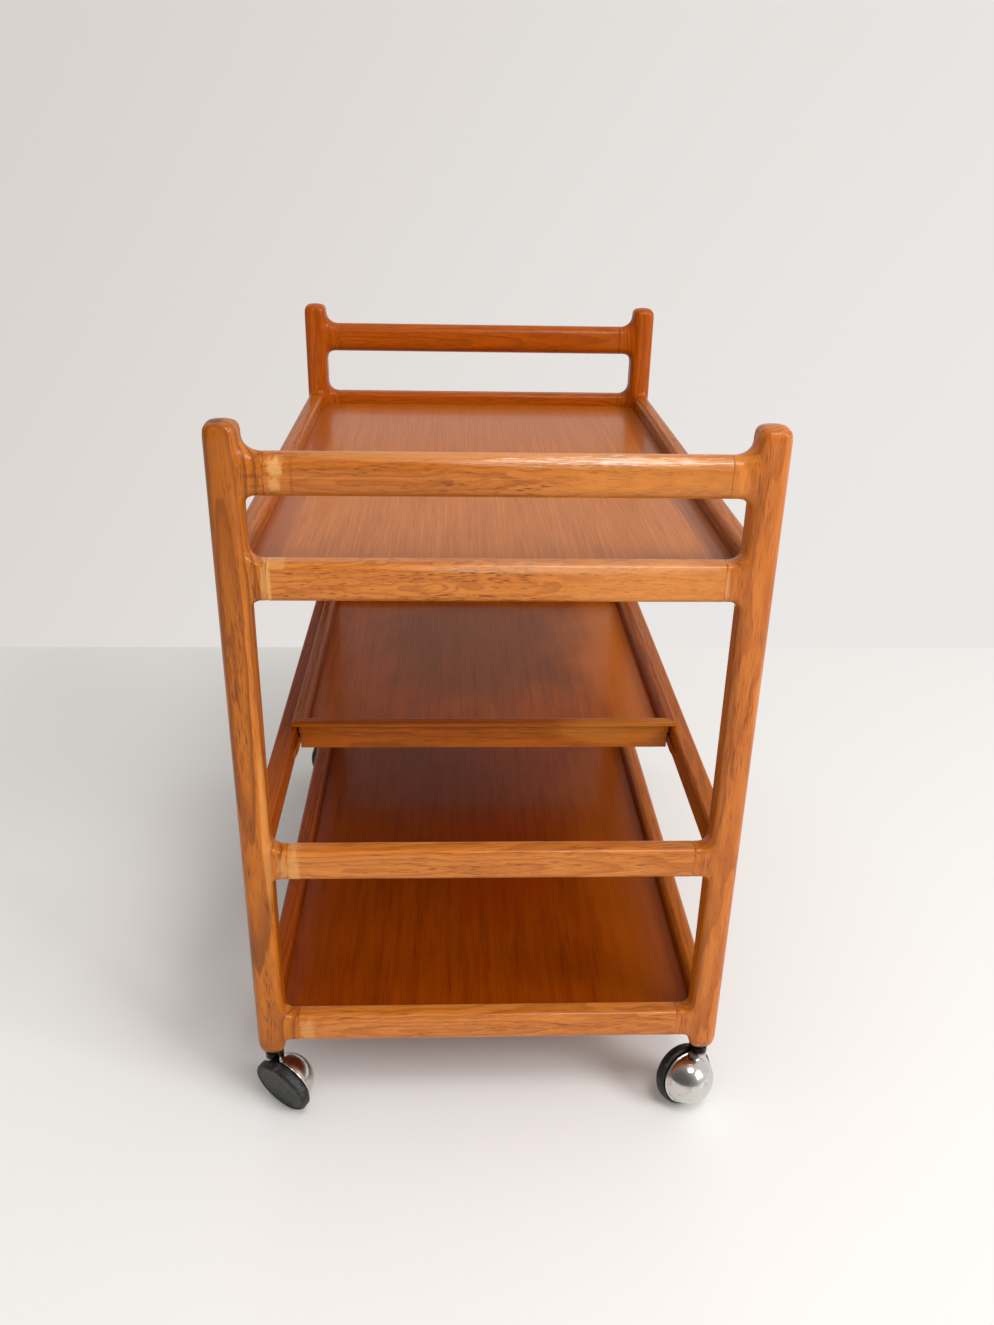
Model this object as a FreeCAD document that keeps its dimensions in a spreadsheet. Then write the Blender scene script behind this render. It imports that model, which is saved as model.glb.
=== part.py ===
"""Serving trolley of solid wood with three levels, a loose sliding tray and four ball castors.

Millimetres, X to the right, Y away from the near end, Z up. The origin lies on the floor,
under the middle of the frame. Every length is a cell of the sheet, and each piece takes its
sizes and places from those cells.
"""
import FreeCAD, Part
import os
import re
import Sketcher

SIZES = {
    # outer size of the frame
    "frame_width": 446,
    "frame_length": 676,
    "frame_height": 689,
    # posts
    "post_width": 26,
    "post_depth": 30,
    "post_edge_radius": 8,
    "dome_radius": 46,
    "dome_edge_radius": 5,
    "foot_height": 72,
    "foot_edge_radius": 6,
    # joints between rails and posts: the rail's profile swells into the post
    "stub_length": 15,
    "handle_stub_length": 18,
    "flare_margin": 0.5,
    "side_flare_radius": 6,
    # rails
    "rail_inset": 2,
    "side_rail_inset": 1.5,
    "rail_thickness": 20,
    "side_rail_thickness": 18.5,
    "rail_edge_radius": 6,
    "tray_rail_edge_radius": 3,
    # handle rails
    "handle_underside": 631,
    "handle_rail_height": 34,
    "handle_thickness": 24,
    "handle_edge_radius": 11,
    "handle_sweep_radius": 15,
    "handle_under_radius": 9,
    # rails of the top shelf
    "top_underside": 546,
    "top_rail_height": 33,
    "top_upper_radius": 12.5,
    "top_lower_radius": 9,
    # rails that carry the tray
    "middle_underside": 277,
    "middle_rail_height": 31,
    "middle_upper_radius": 11,
    "middle_lower_radius": 7,
    # rails of the bottom shelf
    "bottom_underside": 89,
    "bottom_rail_height": 30,
    "bottom_upper_radius": 9,
    "bottom_lower_radius": 7,
    # shelf panels in grooves of their rails
    "shelf_recess": 15,
    "panel_thickness": 8,
    "groove_depth": 5,
    "panel_slack": 0.3,
    "panel_step": 0.4,
    # dowels, two to a joint
    "dowel_radius": 4,
    "dowel_length": 36,
    "dowel_pitch": 15,
    "dowel_clearance": 0.05,
    "dowel_end_gap": 1,
    # loose tray
    "tray_length": 403,
    "tray_height": 35,
    "tray_end_gap": 2,
    "tray_rest_gap": 0.3,
    "tray_lip_overlap": 4.5,
    "tray_side_gap": 2.2,
    "tray_recess": 1.2,
    "tray_rail_width": 15,
    "tray_lip_height": 5.7,
    "tray_bead_height": 9,
    "tray_cove_height": 2.5,
    "tray_lip_radius": 2.5,
    "tray_lip_under_radius": 0.8,
    "tray_bead_radius": 1,
    "tray_inner_edge_radius": 7,
    "tray_panel_thickness": 6,
    "tray_panel_height": 15,
    "tray_groove_depth": 3,
    # loose tongues across the tray's mitres
    "key_length": 6,
    "key_thickness": 2.4,
    "key_height": 8,
    "key_inset": 11,
    "key_level": 3,
    "key_clearance": 0.1,
    # runner strips beside the tray's foot
    "runner_length": 420,
    "runner_thickness": 2.5,
    "runner_height": 10,
    "runner_level": 6,
    "runner_taper": 22,
    "runner_end_gap": 7,
    # countersunk screws of the runner strips
    "screw_pitch": 150,
    "screw_radius": 1.5,
    "screw_length": 13,
    "screw_head_radius": 2.8,
    "screw_head_height": 1.4,
    "screw_clearance": 0.05,
    # ball castors
    "wheel_radius": 30.5,
    "tyre_width": 11,
    "tyre_thickness": 3.5,
    "tread_radius": 3,
    "wheel_tilt": 13.5,
    "wheel_trail": 11.5,
    "wheel_offset": 3.5,
    "wheel_side_gap": 1,
    "wheel_tip_gap": 1.2,
    "disc_rim_width": 2.5,
    "disc_side_inset": 0.3,
    "disc_web_thickness": 4,
    "disc_edge_radius": 0.6,
    "hub_radius": 8,
    "hub_length": 8,
    "bore_depth": 11,
    "axle_radius": 3,
    "axle_end_gap": 0.5,
    "axle_seat_depth": 16,
    "running_clearance": 0.05,
    "press_gap": 0.02,
    "hood_radius": 26,
    "hood_wall": 2,
    "hood_bead_radius": 1.3,
    "axle_boss_radius": 6,
    "axle_boss_gap": 0.4,
    "stem_boss_radius": 9,
    "stem_boss_height": 30,
    "stem_boss_edge_radius": 1.2,
    "stem_radius": 4,
    "stem_seat_depth": 9.5,
    "stem_length": 42,
    "stem_tip_radius": 1.5,
    "swivel_gap": 0.3,
    "socket_radius": 5,
    "socket_depth": 34,
    "socket_flange_radius": 8.5,
    "socket_flange_height": 2,
    "socket_flange_edge": 0.8,
    # directions in which the castors trail, in degrees from +X
    "trail_near_left": -35,
    "trail_near_right": 205,
    "trail_far_left": 225,
    "trail_far_right": 48,
    # how far cutting tools run past what they cut
    "overrun": 2,
    # how near a measured place counts as the wanted one
    "match_slack": 0.05,
}

DERIVED = {
    "post_inner_x": "frame_width / 2 - post_width",
    "post_inner_y": "frame_length / 2 - post_depth",
    "post_x": "frame_width / 2 - post_width / 2",
    "post_y": "frame_length / 2 - post_depth / 2",
    "end_rail_y": "frame_length / 2 - rail_inset - rail_thickness / 2",
    "handle_y": "frame_length / 2 - rail_inset - handle_thickness / 2",
    "side_rail_x": "frame_width / 2 - side_rail_inset - side_rail_thickness / 2",
    "end_inner": "frame_length / 2 - rail_inset - rail_thickness",
    "side_inner": "frame_width / 2 - side_rail_inset - side_rail_thickness",
    "joint_x": "post_inner_x - stub_length",
    "joint_y": "post_inner_y - stub_length",
    "handle_joint_x": "post_inner_x - handle_stub_length",
    "tongue": "groove_depth - panel_slack",
    "tray_half_width": "side_inner + tray_lip_overlap",
    "tray_half_length": "tray_length / 2",
    "tray_stop_y": "post_inner_y - side_flare_radius - flare_margin - tray_end_gap",
    "tray_y": "tray_stop_y - tray_half_length",
    "tray_lip_level": "tray_height - tray_lip_height",
    "tray_z": "middle_underside + middle_rail_height + tray_rest_gap - tray_lip_level",
    "bead_y": "tray_lip_overlap + tray_side_gap",
    "bead_level": "tray_lip_level - tray_cove_height",
    "recess_y": "bead_y + tray_recess",
    "runner_y": "joint_y - runner_end_gap - runner_length / 2",
    "runner_z": "middle_underside + runner_level",
    "disc_radius": "wheel_radius - tyre_thickness",
    "disc_half": "tyre_width / 2 - disc_side_inset",
    "wheel_z": "(wheel_radius - tread_radius) * cos(wheel_tilt)"
               " + (tyre_width / 2 - tread_radius) * sin(wheel_tilt) + tread_radius",
    "hood_level": "tyre_width / 2 + wheel_side_gap",
    "boss_top": "foot_height - socket_flange_height - swivel_gap",
    "axle_boss_level": "hub_length + axle_boss_gap",
}

# each level: underside, height, thickness, edge radius, stub and the radii above and below it
LEVELS = {
    "handle": ("handle_underside", "handle_rail_height", "handle_thickness", "handle_edge_radius",
               "handle_stub_length", "handle_sweep_radius", "handle_under_radius"),
    "top": ("top_underside", "top_rail_height", "rail_thickness", "rail_edge_radius",
            "stub_length", "top_upper_radius", "top_lower_radius"),
    "middle": ("middle_underside", "middle_rail_height", "rail_thickness", "rail_edge_radius",
               "stub_length", "middle_upper_radius", "middle_lower_radius"),
    "bottom": ("bottom_underside", "bottom_rail_height", "rail_thickness", "rail_edge_radius",
               "stub_length", "bottom_upper_radius", "bottom_lower_radius"),
}
SIDE_EDGES = {"top": "rail_edge_radius", "middle": "tray_rail_edge_radius",
              "bottom": "rail_edge_radius"}
CORNERS = {"near_left": (-1, -1), "near_right": (1, -1), "far_left": (-1, 1), "far_right": (1, 1)}
ENDS = {"near": -1, "far": 1}
SIDES = {"left": -1, "right": 1}

doc = FreeCAD.newDocument("serving_trolley")
sheet = doc.addObject("Spreadsheet::Sheet", "Sizes")
for row, (name, value) in enumerate(SIZES.items(), start=1):
    sheet.set(f"A{row}", name)
    sheet.set(f"B{row}", str(value))
    sheet.setAlias(f"B{row}", name)
doc.recompute()

PARTS = []


def cell(text):
    """The expression with each word written out as cells of the sheet."""
    def word(match):
        name = match.group(0)
        if name in DERIVED:
            return "(" + cell(DERIVED[name]) + ")"
        return "Sizes." + name if name in SIZES else name
    return re.sub(r"[a-z_]+", word, text)


def amount(text):
    """What an expression comes to, in millimetres or degrees."""
    return float(sheet.evalExpression(cell(text)))


def bind(thing, **texts):
    """Ties properties of an object to expressions."""
    for prop, text in texts.items():
        thing.setExpression(prop, cell(text))
    return thing


def spot(at_x="0", at_y="0", at_z="0", turn="0", about="z"):
    """Expression of a placement: a turn about one axis, then a move."""
    return f"placement(vector({at_x}; {at_y}; {at_z}); rotation{about}({turn}))"


def signed(sign, text):
    """The expression with a sign."""
    return f"-({text})" if sign < 0 else f"({text})"


def keep(label, thing):
    """Lists an object as a finished piece of the trolley."""
    thing.Label = label
    PARTS.append((label, thing))
    return thing


def add(kind, name, **texts):
    """A primitive with its sizes tied to the sheet."""
    return bind(doc.addObject("Part::" + kind, name), **texts)


def fuse(name, pieces):
    """One solid made of several."""
    thing = doc.addObject("Part::MultiFuse", name)
    thing.Shapes = pieces
    thing.Refine = True
    return thing


def cut(name, base, tool):
    """A solid less its tool."""
    thing = doc.addObject("Part::Cut", name)
    thing.Base = base
    thing.Tool = tool
    return thing


def group(name, pieces):
    """Separate solids kept together."""
    thing = doc.addObject("Part::Compound", name)
    thing.Links = pieces
    return thing


def new_sketch(body, role, name):
    """A sketch on one of the body's own origin planes."""
    sketch = body.newObject("Sketcher::SketchObject", name)
    plane = [item for item in body.Origin.OriginFeatures if item.Role == role][0]
    sketch.AttachmentSupport = [(plane, "")]
    sketch.MapMode = "FlatFace"
    return sketch


def outline(sketch, corners):
    """Closed outline of level and upright edges through (x, y, radius) corners, all tied."""
    points = [FreeCAD.Vector(amount(x), amount(y), 0) for x, y, radius in corners]
    radii = [amount(radius) if radius else 0 for x, y, radius in corners]
    count = len(points)
    rules, ties = [], []

    def rule(kind, *values, text=None):
        if text:
            ties.append((len(rules), text))
        rules.append(Sketcher.Constraint(kind, *values))

    ways = [(points[(i + 1) % count] - points[i]).normalize() for i in range(count)]
    for i in range(count):
        after = (i + 1) % count
        start = points[i] + ways[i] * radii[i]
        end = points[after] - ways[i] * radii[after]
        sketch.addGeometry(Part.LineSegment(start, end))
        upright = abs(ways[i].x) < abs(ways[i].y)
        text = corners[i][0] if upright else corners[i][1]
        rule("Vertical" if upright else "Horizontal", i)
        if text == "0":
            rule("PointOnObject", i, 1, -2 if upright else -1)
        elif upright:
            rule("DistanceX", -1, 1, i, 1, start.x, text=text)
        else:
            rule("DistanceY", -1, 1, i, 1, start.y, text=text)
    for i in range(count):
        before = i - 1 if i else count - 1
        if not radii[i]:
            rule("Coincident", before, 2, i, 1)
            continue
        entry = points[i] - ways[before] * radii[i]
        leave = points[i] + ways[i] * radii[i]
        centre = entry + ways[i] * radii[i]
        middle = centre + (points[i] - centre).normalize() * radii[i]
        left_turn = ways[before].cross(ways[i]).z > 0
        begin, finish = (entry, leave) if left_turn else (leave, entry)
        first, last = (1, 2) if left_turn else (2, 1)
        index = sketch.addGeometry(Part.Arc(begin, middle, finish))
        rule("Tangent", before, 2, index, first)
        rule("Tangent", index, last, i, 1)
        rule("Radius", index, radii[i], text=corners[i][2])
    sketch.addConstraint(rules)
    for place, text in ties:
        sketch.setExpression(f"Constraints[{place}]", cell(text))
    return sketch


def new_body(name):
    """An empty body."""
    return doc.addObject("PartDesign::Body", name)


def padded(body, role, corners, length, symmetric=False):
    """Adds a sketched outline to a body and carries it along by a length."""
    sketch = outline(new_sketch(body, role, body.Name + "_outline"), corners)
    pad = body.newObject("PartDesign::Pad", body.Name + "_pad")
    pad.Profile = sketch
    pad.SideType = "Symmetric" if symmetric else "One side"
    return bind(pad, Length=length)


def grooved(body, role, corners, length):
    """Cuts a sketched outline right through a body, both ways from its plane."""
    sketch = outline(new_sketch(body, role, body.Name + "_groove_outline"), corners)
    pocket = body.newObject("PartDesign::Pocket", body.Name + "_groove")
    pocket.Profile = sketch
    pocket.SideType = "Symmetric"
    return bind(pocket, Length=length)


def turned(name, corners):
    """A body turned about Z from an outline of radii and heights."""
    body = new_body(name)
    sketch = outline(new_sketch(body, "XZ_Plane", name + "_outline"), corners)
    turn = body.newObject("PartDesign::Revolution", name + "_turn")
    turn.Profile = sketch
    turn.ReferenceAxis = (sketch, ["V_Axis"])
    turn.Angle = 360
    return body


def rounded(body, feature, radius, wanted):
    """Rounds those edges of a feature for which wanted(centre, edge) holds."""
    doc.recompute()
    names = [f"Edge{i + 1}" for i, edge in enumerate(feature.Shape.Edges)
             if wanted(edge.CenterOfMass, edge)]
    fillet = body.newObject("PartDesign::Fillet", body.Name + "_rounding")
    fillet.Base = (feature, names)
    return bind(fillet, Radius=radius)


def near_value(value, aim):
    """Whether a measured coordinate is the wanted one."""
    return abs(value - aim) < amount("match_slack")


# Posts: a straight core with a domed top, and a flared stub for every rail.
def post_core(name):
    body = new_body(name)
    half_x, half_y = "post_width / 2", "post_depth / 2"
    corners = [("-" + half_x, "-" + half_y, "post_edge_radius"),
               (half_x, "-" + half_y, "post_edge_radius"),
               (half_x, half_y, "post_edge_radius"),
               ("-" + half_x, half_y, "post_edge_radius")]
    pad = padded(body, "XY_Plane", corners, "frame_height - foot_height")
    # The dome is what is left when the space over a large ball is turned away.
    top, ball, reach = "frame_height - foot_height", "dome_radius", "post_depth"
    sketch = new_sketch(body, "XZ_Plane", name + "_dome_outline")
    high, wide, curve = amount(top), amount(reach), amount(ball)
    drop = curve - (curve ** 2 - wide ** 2) ** 0.5
    over = high + amount("overrun")
    peak, brim = FreeCAD.Vector(0, high, 0), FreeCAD.Vector(wide, high - drop, 0)
    corner, above = FreeCAD.Vector(wide, over, 0), FreeCAD.Vector(0, over, 0)
    centre = FreeCAD.Vector(0, high - curve, 0)
    middle = centre + (peak + brim - centre * 2).normalize() * curve
    arc = sketch.addGeometry(Part.Arc(brim, middle, peak))
    rise = sketch.addGeometry(Part.LineSegment(peak, above))
    lid = sketch.addGeometry(Part.LineSegment(above, corner))
    fall = sketch.addGeometry(Part.LineSegment(corner, brim))
    sketch.addConstraint([
        Sketcher.Constraint("Coincident", arc, 2, rise, 1),
        Sketcher.Constraint("Coincident", rise, 2, lid, 1),
        Sketcher.Constraint("Coincident", lid, 2, fall, 1),
        Sketcher.Constraint("Coincident", fall, 2, arc, 1),
        Sketcher.Constraint("PointOnObject", rise, 1, -2),
        Sketcher.Constraint("PointOnObject", rise, 2, -2),
        Sketcher.Constraint("PointOnObject", arc, 3, -2),
        Sketcher.Constraint("Horizontal", lid),
        Sketcher.Constraint("Vertical", fall),
        Sketcher.Constraint("Radius", arc, curve),
        Sketcher.Constraint("DistanceY", -1, 1, rise, 1, high),
        Sketcher.Constraint("DistanceY", -1, 1, rise, 2, over),
        Sketcher.Constraint("DistanceX", -1, 1, fall, 1, wide)])
    for place, text in ((9, ball), (10, top), (11, top + " + overrun"), (12, reach)):
        sketch.setExpression(f"Constraints[{place}]", cell(text))
    groove = body.newObject("PartDesign::Groove", name + "_dome")
    groove.Profile = sketch
    groove.ReferenceAxis = (sketch, ["V_Axis"])
    groove.Angle = 360
    shoulder = high - amount("dome_edge_radius") * 2
    dome = rounded(body, groove, "dome_edge_radius",
                   lambda centre, edge: centre.z > shoulder and edge.BoundBox.ZLength < shoulder / 2)
    rounded(body, dome, "foot_edge_radius", lambda centre, edge: near_value(centre.z, 0))
    bind(body, Placement=spot(at_z="foot_height"))
    return body


def stub(name, level, half, edge, upper, lower, place):
    """A flared stub towards local +X, from the post's middle to the joint with its rail."""
    under, tall, thick, stub_edge, reach, swell, swell_low = LEVELS[level]
    edge, upper, lower = edge or stub_edge, upper or swell, lower or swell_low
    top, end = f"{under} + {tall}", f"{half} + {reach}"
    below, above = f"{under} - {lower} - flare_margin", f"{top} + {upper} + flare_margin"
    corners = [("0", below, None), (half, below, None), (half, under, lower),
               (end, under, None), (end, top, None), (half, top, upper),
               (half, above, None), ("0", above, None)]
    body = new_body(name)
    width = thick if half == "post_width / 2" else "side_rail_thickness"
    pad = padded(body, "XZ_Plane", corners, width, symmetric=True)
    face, slack = amount(width) / 2, amount("match_slack")
    start, finish = amount(half) - slack, amount(end) - slack

    def along(centre, edge_found):
        on_face = near_value(abs(centre.y), face) and near_value(edge_found.BoundBox.YLength, 0)
        return on_face and start < centre.x < finish

    rounded(body, pad, edge, along)
    bind(body, Placement=place)
    return body


def dowel(name, at_x, at_y, at_z, along_x, hole):
    """A dowel, or the hole for it, centred on the joint plane."""
    length = "dowel_length + dowel_end_gap * 2" if hole else "dowel_length"
    radius = "dowel_radius + dowel_clearance" if hole else "dowel_radius"
    half = f"({length}) / 2"
    if along_x:
        place = spot(f"{at_x} - {half}", at_y, at_z, "90", "y")
    else:
        place = spot(at_x, f"{at_y} - {half}", at_z, "-90", "x")
    return add("Cylinder", name, Radius=radius, Height=length, Placement=place)


def joint_places(level, along_x, corner_x, corner_y):
    """Middle of one joint between a rail and a post."""
    if along_x:
        side = "handle_y" if level == "handle" else "end_rail_y"
        inner = "handle_joint_x" if level == "handle" else "joint_x"
        return signed(corner_x, inner), signed(corner_y, side)
    return signed(corner_x, "side_rail_x"), signed(corner_y, "joint_y")


dowels, dowel_holes = [], []
for corner, (corner_x, corner_y) in CORNERS.items():
    for level, (under, tall, *rest) in LEVELS.items():
        for along_x in (True, False):
            if level == "handle" and not along_x:
                continue
            at_x, at_y = joint_places(level, along_x, corner_x, corner_y)
            for step in (-1, 1):
                at_z = f"{under} + {tall} / 2 + {step} * dowel_pitch / 2"
                name = f"dowel_{corner}_{level}_{'end' if along_x else 'side'}_{step + 1}"
                dowels.append(dowel(name, at_x, at_y, at_z, along_x, False))
                dowel_holes.append(dowel(name + "_hole", at_x, at_y, at_z, along_x, True))
joint_holes = group("joint_holes", dowel_holes)
keep("frame_dowels", group("frame_dowels", dowels))

for corner, (corner_x, corner_y) in CORNERS.items():
    at_x, at_y = signed(corner_x, "post_x"), signed(corner_y, "post_y")
    core = post_core(f"core_{corner}")
    pieces = []
    for level in LEVELS:
        shift = "handle_y - post_y" if level == "handle" else "end_rail_y - post_y"
        place = spot(at_y=signed(corner_y, shift), turn="180" if corner_x > 0 else "0")
        pieces.append(stub(f"end_stub_{corner}_{level}", level, "post_width / 2", None, None, None,
                           place))
    for level, edge in SIDE_EDGES.items():
        place = spot(at_x=signed(corner_x, "side_rail_x - post_x"),
                     turn="-90" if corner_y > 0 else "90")
        pieces.append(stub(f"side_stub_{corner}_{level}", level, "post_depth / 2", edge,
                           "side_flare_radius", "side_flare_radius", place))
    solid = bind(fuse(f"solid_{corner}", [core] + pieces), Placement=spot(at_x, at_y))
    socket_hole = add("Cylinder", f"socket_hole_{corner}", Radius="socket_radius + press_gap",
                      Height="socket_depth + overrun * 2",
                      Placement=spot(at_x, at_y, "foot_height - overrun"))
    holes = group(f"holes_{corner}", [joint_holes, socket_hole])
    keep(f"post_{corner}", cut(f"post_{corner}", solid, holes))


# Rails: a rounded section along local X, its inner side towards local +Y.
def rail_body(name, length, thick, tall, edge, panel):
    body = new_body(name)
    half = f"{thick} / 2"
    corners = [("-" + half, "0", None), (half, "0", None), (half, tall, None),
               ("-" + half, tall, None)]
    pad = padded(body, "YZ_Plane", corners, length, symmetric=True)
    long_edge = amount(length)
    rounded(body, pad, edge, lambda centre, found: near_value(found.BoundBox.XLength, long_edge))
    if panel:
        floor = f"{tall} - shelf_recess - panel_thickness - panel_slack"
        roof = f"{tall} - shelf_recess - panel_step + panel_slack"
        inner, outer = f"{half} - groove_depth", f"{half} + overrun"
        grooved(body, "YZ_Plane", [(inner, floor, None), (outer, floor, None),
                                   (outer, roof, None), (inner, roof, None)],
                f"{length} + overrun * 2")
    return body


for level, (under, tall, thick, edge, *rest) in LEVELS.items():
    joint = "handle_joint_x" if level == "handle" else "joint_x"
    side = "handle_y" if level == "handle" else "end_rail_y"
    for end, sign in ENDS.items():
        label = f"handle_rail_{end}" if level == "handle" else f"{level}_end_rail_{end}"
        body = rail_body(label + "_body", f"{joint} * 2", thick, tall, edge,
                         level in ("top", "bottom"))
        bind(body, Placement=spot(at_y=signed(sign, side), at_z=under,
                                  turn="180" if sign > 0 else "0"))
        keep(label, cut(label, body, joint_holes))


def screw(name, side, step, hole):
    """A countersunk screw, or its hole, through a runner strip into the rail."""
    extra = " + screw_clearance" if hole else ""
    face = signed(side, "side_inner - runner_thickness")
    at_y = f"runner_y + {step} * screw_pitch"
    place = spot(face, at_y, "runner_z + runner_height / 2", str(90 * side), "y")
    head = add("Cone", name + "_head", Radius1="screw_head_radius" + extra,
               Radius2="screw_radius" + extra, Height="screw_head_height", Placement=place)
    shank = add("Cylinder", name + "_shank", Radius="screw_radius" + extra,
                Height="screw_length" + extra, Placement=place)
    return fuse(name, [head, shank])


screws, screw_holes = [], []
for side, sign in SIDES.items():
    for step in (-1, 0, 1):
        screws.append(screw(f"screw_{side}_{step + 1}", sign, step, False))
        screw_holes.append(screw(f"screw_hole_{side}_{step + 1}", sign, step, True))
keep("runner_screws", group("runner_screws", screws))
runner_holes = group("runner_holes", screw_holes)

for level, edge in SIDE_EDGES.items():
    under, tall = LEVELS[level][:2]
    for side, sign in SIDES.items():
        label = f"{level}_side_rail_{side}"
        body = rail_body(label + "_body", "joint_y * 2", "side_rail_thickness", tall, edge,
                         level in ("top", "bottom"))
        bind(body, Placement=spot(at_x=signed(sign, "side_rail_x"), at_z=under,
                                  turn=str(90 * sign)))
        tools = [joint_holes, runner_holes] if level == "middle" else [joint_holes]
        keep(label, cut(label, body, group(label + "_holes", tools)))


def around(quarter):
    """One quarter of an outline mirrored into all four."""
    corners = []
    for sign_x, sign_y in ((1, 1), (-1, 1), (-1, -1), (1, -1)):
        ring = quarter if sign_x == sign_y else quarter[::-1]
        corners += [(signed(sign_x, x), signed(sign_y, y), None) for x, y in ring]
    return corners


def panel(label, tongued, face, thick, place):
    """A board whose tongues lie a step below its face, so that the face ends at the frame."""
    body = new_body(label)
    padded(body, "XY_Plane", around(tongued), f"{thick} - panel_step")
    padded(body, "XY_Plane", around(face), thick)
    keep(label, bind(body, Placement=place))


# Shelf panels: boards in the rails' grooves, stepped round the posts and their stubs.
def shelf_panel(label, level):
    under, tall = LEVELS[level][:2]
    quarter = [("side_inner + tongue", "joint_y - panel_slack"),
               ("side_inner - panel_slack", "joint_y - panel_slack"),
               ("side_inner - panel_slack", "post_inner_y - panel_slack"),
               ("post_inner_x - panel_slack", "post_inner_y - panel_slack"),
               ("post_inner_x - panel_slack", "end_inner - panel_slack"),
               ("joint_x - panel_slack", "end_inner - panel_slack"),
               ("joint_x - panel_slack", "end_inner + tongue")]
    panel(label, quarter, quarter[2:5], "panel_thickness",
          spot(at_z=f"{under} + {tall} - shelf_recess - panel_thickness"))


shelf_panel("top_shelf_panel", "top")
shelf_panel("bottom_shelf_panel", "bottom")

# Runner strips: thin strips with tapered ends, screwed to the rails that carry the tray.
for side, sign in SIDES.items():
    place = spot(signed(sign, "side_inner"), "runner_y", "runner_z", str(90 * sign))
    strip = add("Wedge", f"strip_{side}",
                Xmin="-runner_length / 2", Xmax="runner_length / 2",
                X2min="-runner_length / 2 + runner_taper", X2max="runner_length / 2 - runner_taper",
                Ymin="0", Ymax="runner_thickness",
                Zmin="0", Zmax="runner_height", Z2min="0", Z2max="runner_height",
                Placement=place)
    keep(f"tray_runner_{side}", cut(f"tray_runner_{side}", strip, runner_holes))


# Tray: four mitred mouldings whose lip rests on the rails, local +Y inwards, and a panel.
def tray_rail(label, half, place):
    corners = [("recess_y", "0", None), ("tray_rail_width", "0", None),
               ("tray_rail_width", "tray_height", "tray_inner_edge_radius"),
               ("0", "tray_height", "tray_lip_radius"),
               ("0", "tray_lip_level", "tray_lip_under_radius"),
               ("recess_y", "tray_lip_level", None),
               ("recess_y", "bead_level", None),
               ("bead_y", "bead_level", "tray_bead_radius"),
               ("bead_y", "bead_level - tray_bead_height", "tray_bead_radius"),
               ("recess_y", "bead_level - tray_bead_height", None)]
    body = new_body(label + "_body")
    padded(body, "YZ_Plane", corners, f"{half} * 2 + overrun", symmetric=True)
    floor = "tray_panel_height - panel_slack"
    roof = "tray_panel_height + tray_panel_thickness - panel_step + panel_slack"
    inner, outer = "tray_rail_width - tray_groove_depth", "tray_rail_width + overrun"
    grooved(body, "YZ_Plane", [(inner, floor, None), (outer, floor, None),
                               (outer, roof, None), (inner, roof, None)],
            f"{half} * 2 + overrun * 2")
    tools = []
    for end in (-1, 1):
        at_x = signed(end, f"{half} + overrun")
        tools.append(add("Box", f"{label}_mitre_{end + 1}", Length="tray_rail_width * 2",
                         Width="tray_rail_width * 2", Height="tray_height + overrun * 2",
                         Placement=spot(at_x, "-overrun", "-overrun", "45")))
        tools.append(key(f"{label}_slot_{end + 1}", signed(end, f"{half} - key_inset"),
                         "key_inset", "0", end, "key_clearance"))
    keep(label, bind(cut(label, body, group(label + "_tools", tools)), Placement=place))


def key(name, at_x, at_y, at_z, way, slack):
    """A tongue across a mitre, or the slot for it where slack is a clearance."""
    long, thick = f"key_length + {slack} * 2", f"key_thickness + {slack} * 2"
    centre = spot(at_x, at_y, f"{at_z} + key_level - {slack}", str(45 * way))
    return add("Box", name, Length=long, Width=thick, Height=f"key_height + {slack} * 2",
               Placement=f"{centre} * {spot(f'-({long}) / 2', f'-({thick}) / 2')}")


for end, sign in ENDS.items():
    tray_rail(f"tray_end_rail_{end}", "tray_half_width",
              spot(at_y=f"tray_y + {signed(sign, 'tray_half_length')}", at_z="tray_z",
                   turn="180" if sign > 0 else "0"))
for side, sign in SIDES.items():
    tray_rail(f"tray_side_rail_{side}", "tray_half_length",
              spot(signed(sign, "tray_half_width"), "tray_y", "tray_z", str(90 * sign)))
keys = []
for corner, (corner_x, corner_y) in CORNERS.items():
    keys.append(key(f"key_{corner}", signed(corner_x, "tray_half_width - key_inset"),
                    f"tray_y + {signed(corner_y, 'tray_half_length - key_inset')}", "tray_z",
                    -corner_x * corner_y, "0"))
keep("tray_mitre_keys", group("tray_mitre_keys", keys))

panel("tray_panel",
      [("tray_half_width - tray_rail_width + tray_groove_depth - panel_slack",
        "tray_half_length - tray_rail_width + tray_groove_depth - panel_slack")],
      [("tray_half_width - tray_rail_width - panel_slack",
        "tray_half_length - tray_rail_width - panel_slack")],
      "tray_panel_thickness", spot(at_y="tray_y", at_z="tray_z + tray_panel_height"))


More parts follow.
